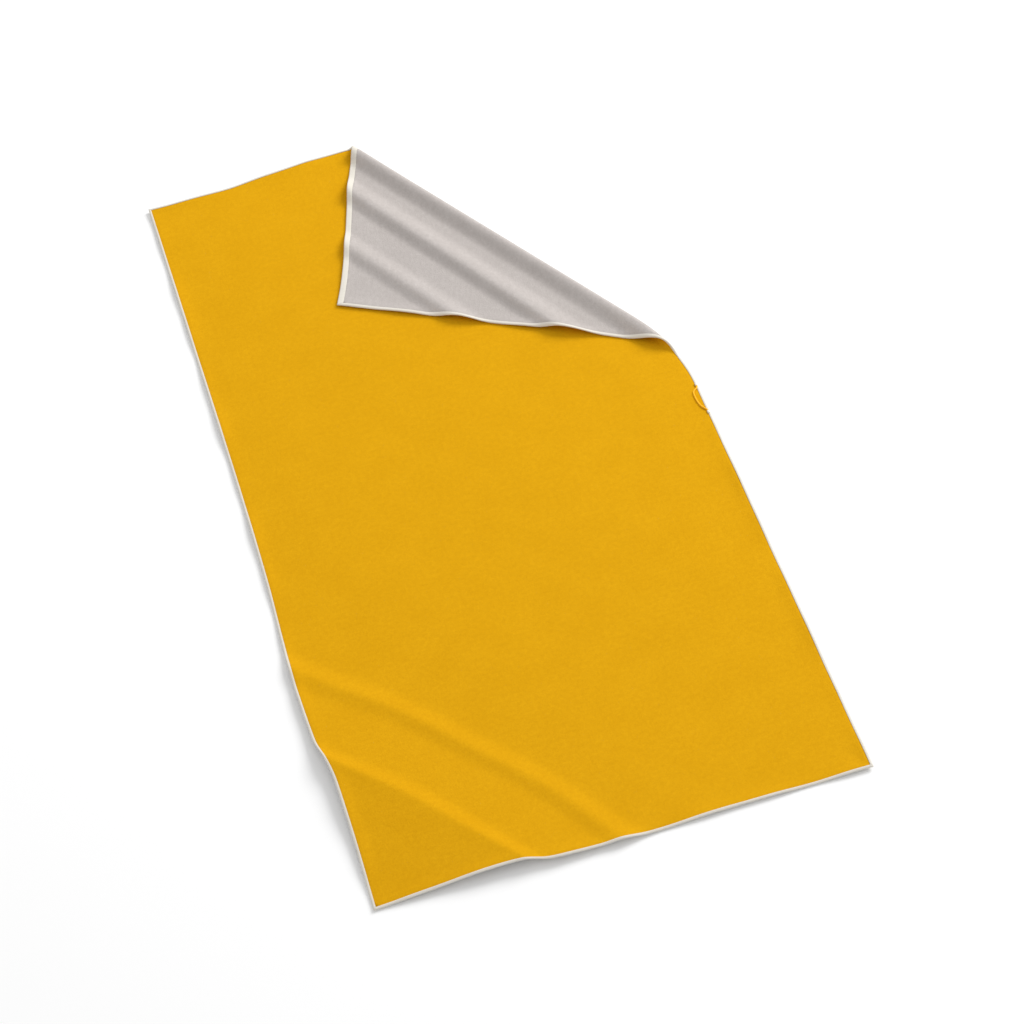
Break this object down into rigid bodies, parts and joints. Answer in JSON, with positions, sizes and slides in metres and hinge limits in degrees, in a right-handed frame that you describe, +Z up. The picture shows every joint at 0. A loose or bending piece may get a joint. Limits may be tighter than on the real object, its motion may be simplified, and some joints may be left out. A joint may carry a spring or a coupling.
{
  "type": "two-sided towel",
  "caption": "Large two-sided towel with a bound edge all round and a small cord hanging loop, lying flat with one corner turned over.",
  "frame": {"origin": "centre of the towel's outline on the surface that it lies on", "axes": "+Z up out of the yellow face, +Y along the towel's length towards the turned corner's end, +X across it towards the edge with the hanging loop"},
  "size_m": [0.8, 1.6, 0.02],
  "materials": {
    "face_cloth": "brushed microfibre, matte",
    "back_cloth": "brushed microfibre, matte",
    "edge_tape": "woven binding tape, matte",
    "seam_thread": "spun polyester thread",
    "loop_cord": "braided cord",
    "bar_tack": "satin-stitched thread"
  },
  "bodies": {
    "towel": {"face_cloth": "face_cloth", "back_cloth": "back_cloth", "left_tape": "edge_tape", "bottom_tape": "edge_tape", "right_tape": "edge_tape", "top_tape": "edge_tape", "left_seam_thread": "seam_thread", "bottom_seam_thread": "seam_thread", "right_seam_thread": "seam_thread", "top_seam_thread": "seam_thread", "upper_bar_tack": "bar_tack", "lower_bar_tack": "bar_tack"},
    "turned_corner": {"corner_face_cloth": "face_cloth", "corner_back_cloth": "back_cloth", "corner_top_tape": "edge_tape", "corner_right_tape": "edge_tape", "corner_top_seam_thread": "seam_thread", "corner_right_seam_thread": "seam_thread"},
    "hanging_loop": {"loop_cord": "loop_cord"}
  },
  "joints": [
    {"name": "corner_fold", "type": "hinge", "parent": "towel", "child": "turned_corner", "pos_m": [0.00359, 0.80512, 0.01], "axis": [-0.5117, 0.8592, 0], "range_deg": [0, 179.5]},
    {"name": "loop_swing", "type": "hinge", "parent": "towel", "child": "hanging_loop", "pos_m": [0.3981, 0.015, 0.00523], "axis": [0, 1, 0], "range_deg": [0, 180]}
  ]
}
